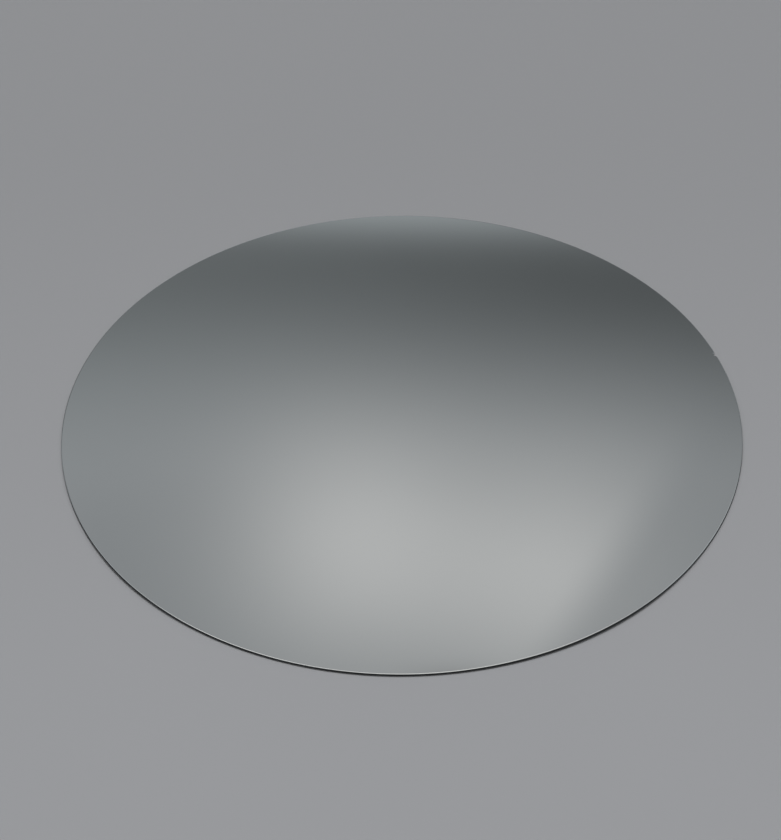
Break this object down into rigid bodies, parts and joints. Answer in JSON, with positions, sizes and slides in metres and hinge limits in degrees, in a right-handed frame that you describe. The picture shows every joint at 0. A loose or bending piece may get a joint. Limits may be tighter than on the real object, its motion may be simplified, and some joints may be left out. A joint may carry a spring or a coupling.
{
  "type": "silicon wafer",
  "caption": "Thin round plate with a mirror-polished face, a rounded rim and a small V-shaped orientation notch; a bare silicon wafer.",
  "frame": {"origin": "centre of the wafer's circle, on the flat back face that it lies on", "axes": "+Z from the back face through the polished front face; the orientation notch is at -Y; +X completes the right-handed frame"},
  "size_m": [0.3, 0.3, 0.0008],
  "materials": {
    "silicon": "mirror-polished single-crystal silicon, dark blue-grey"
  },
  "bodies": {
    "root": {"wafer": "silicon"}
  },
  "joints": []
}
